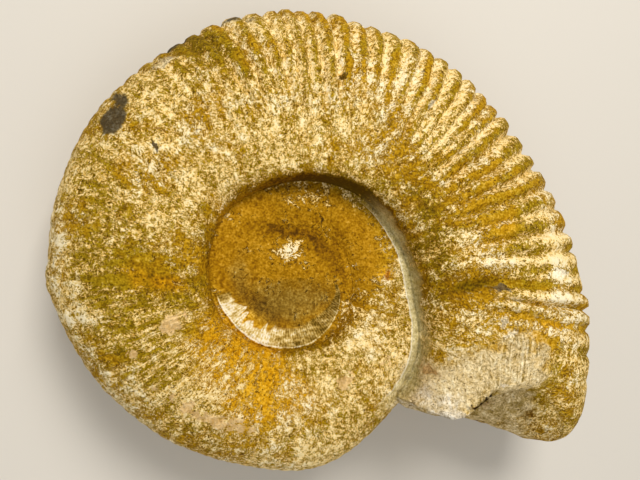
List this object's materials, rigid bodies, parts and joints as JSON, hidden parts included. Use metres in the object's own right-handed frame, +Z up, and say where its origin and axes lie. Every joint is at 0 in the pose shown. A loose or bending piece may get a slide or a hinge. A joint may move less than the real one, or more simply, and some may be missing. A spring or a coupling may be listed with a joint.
{
  "type": "ammonite fossil",
  "caption": "Large ribbed ammonite, a natural limestone cast of a coiled shell with a broken mouth, lying on one flank as a display specimen.",
  "frame": {"origin": "middle of the bounding box's underside, on the plane the fossil rests on", "axes": "+Z up through the coil, off the resting flank; +X towards the ribbed outer edge beside the broken mouth; the mouth opens towards -Y"},
  "size_m": [0.288, 0.2428, 0.1015],
  "materials": {
    "limestone": "matte, weathered"
  },
  "bodies": {
    "root": {"ammonite": "limestone"}
  },
  "joints": []
}
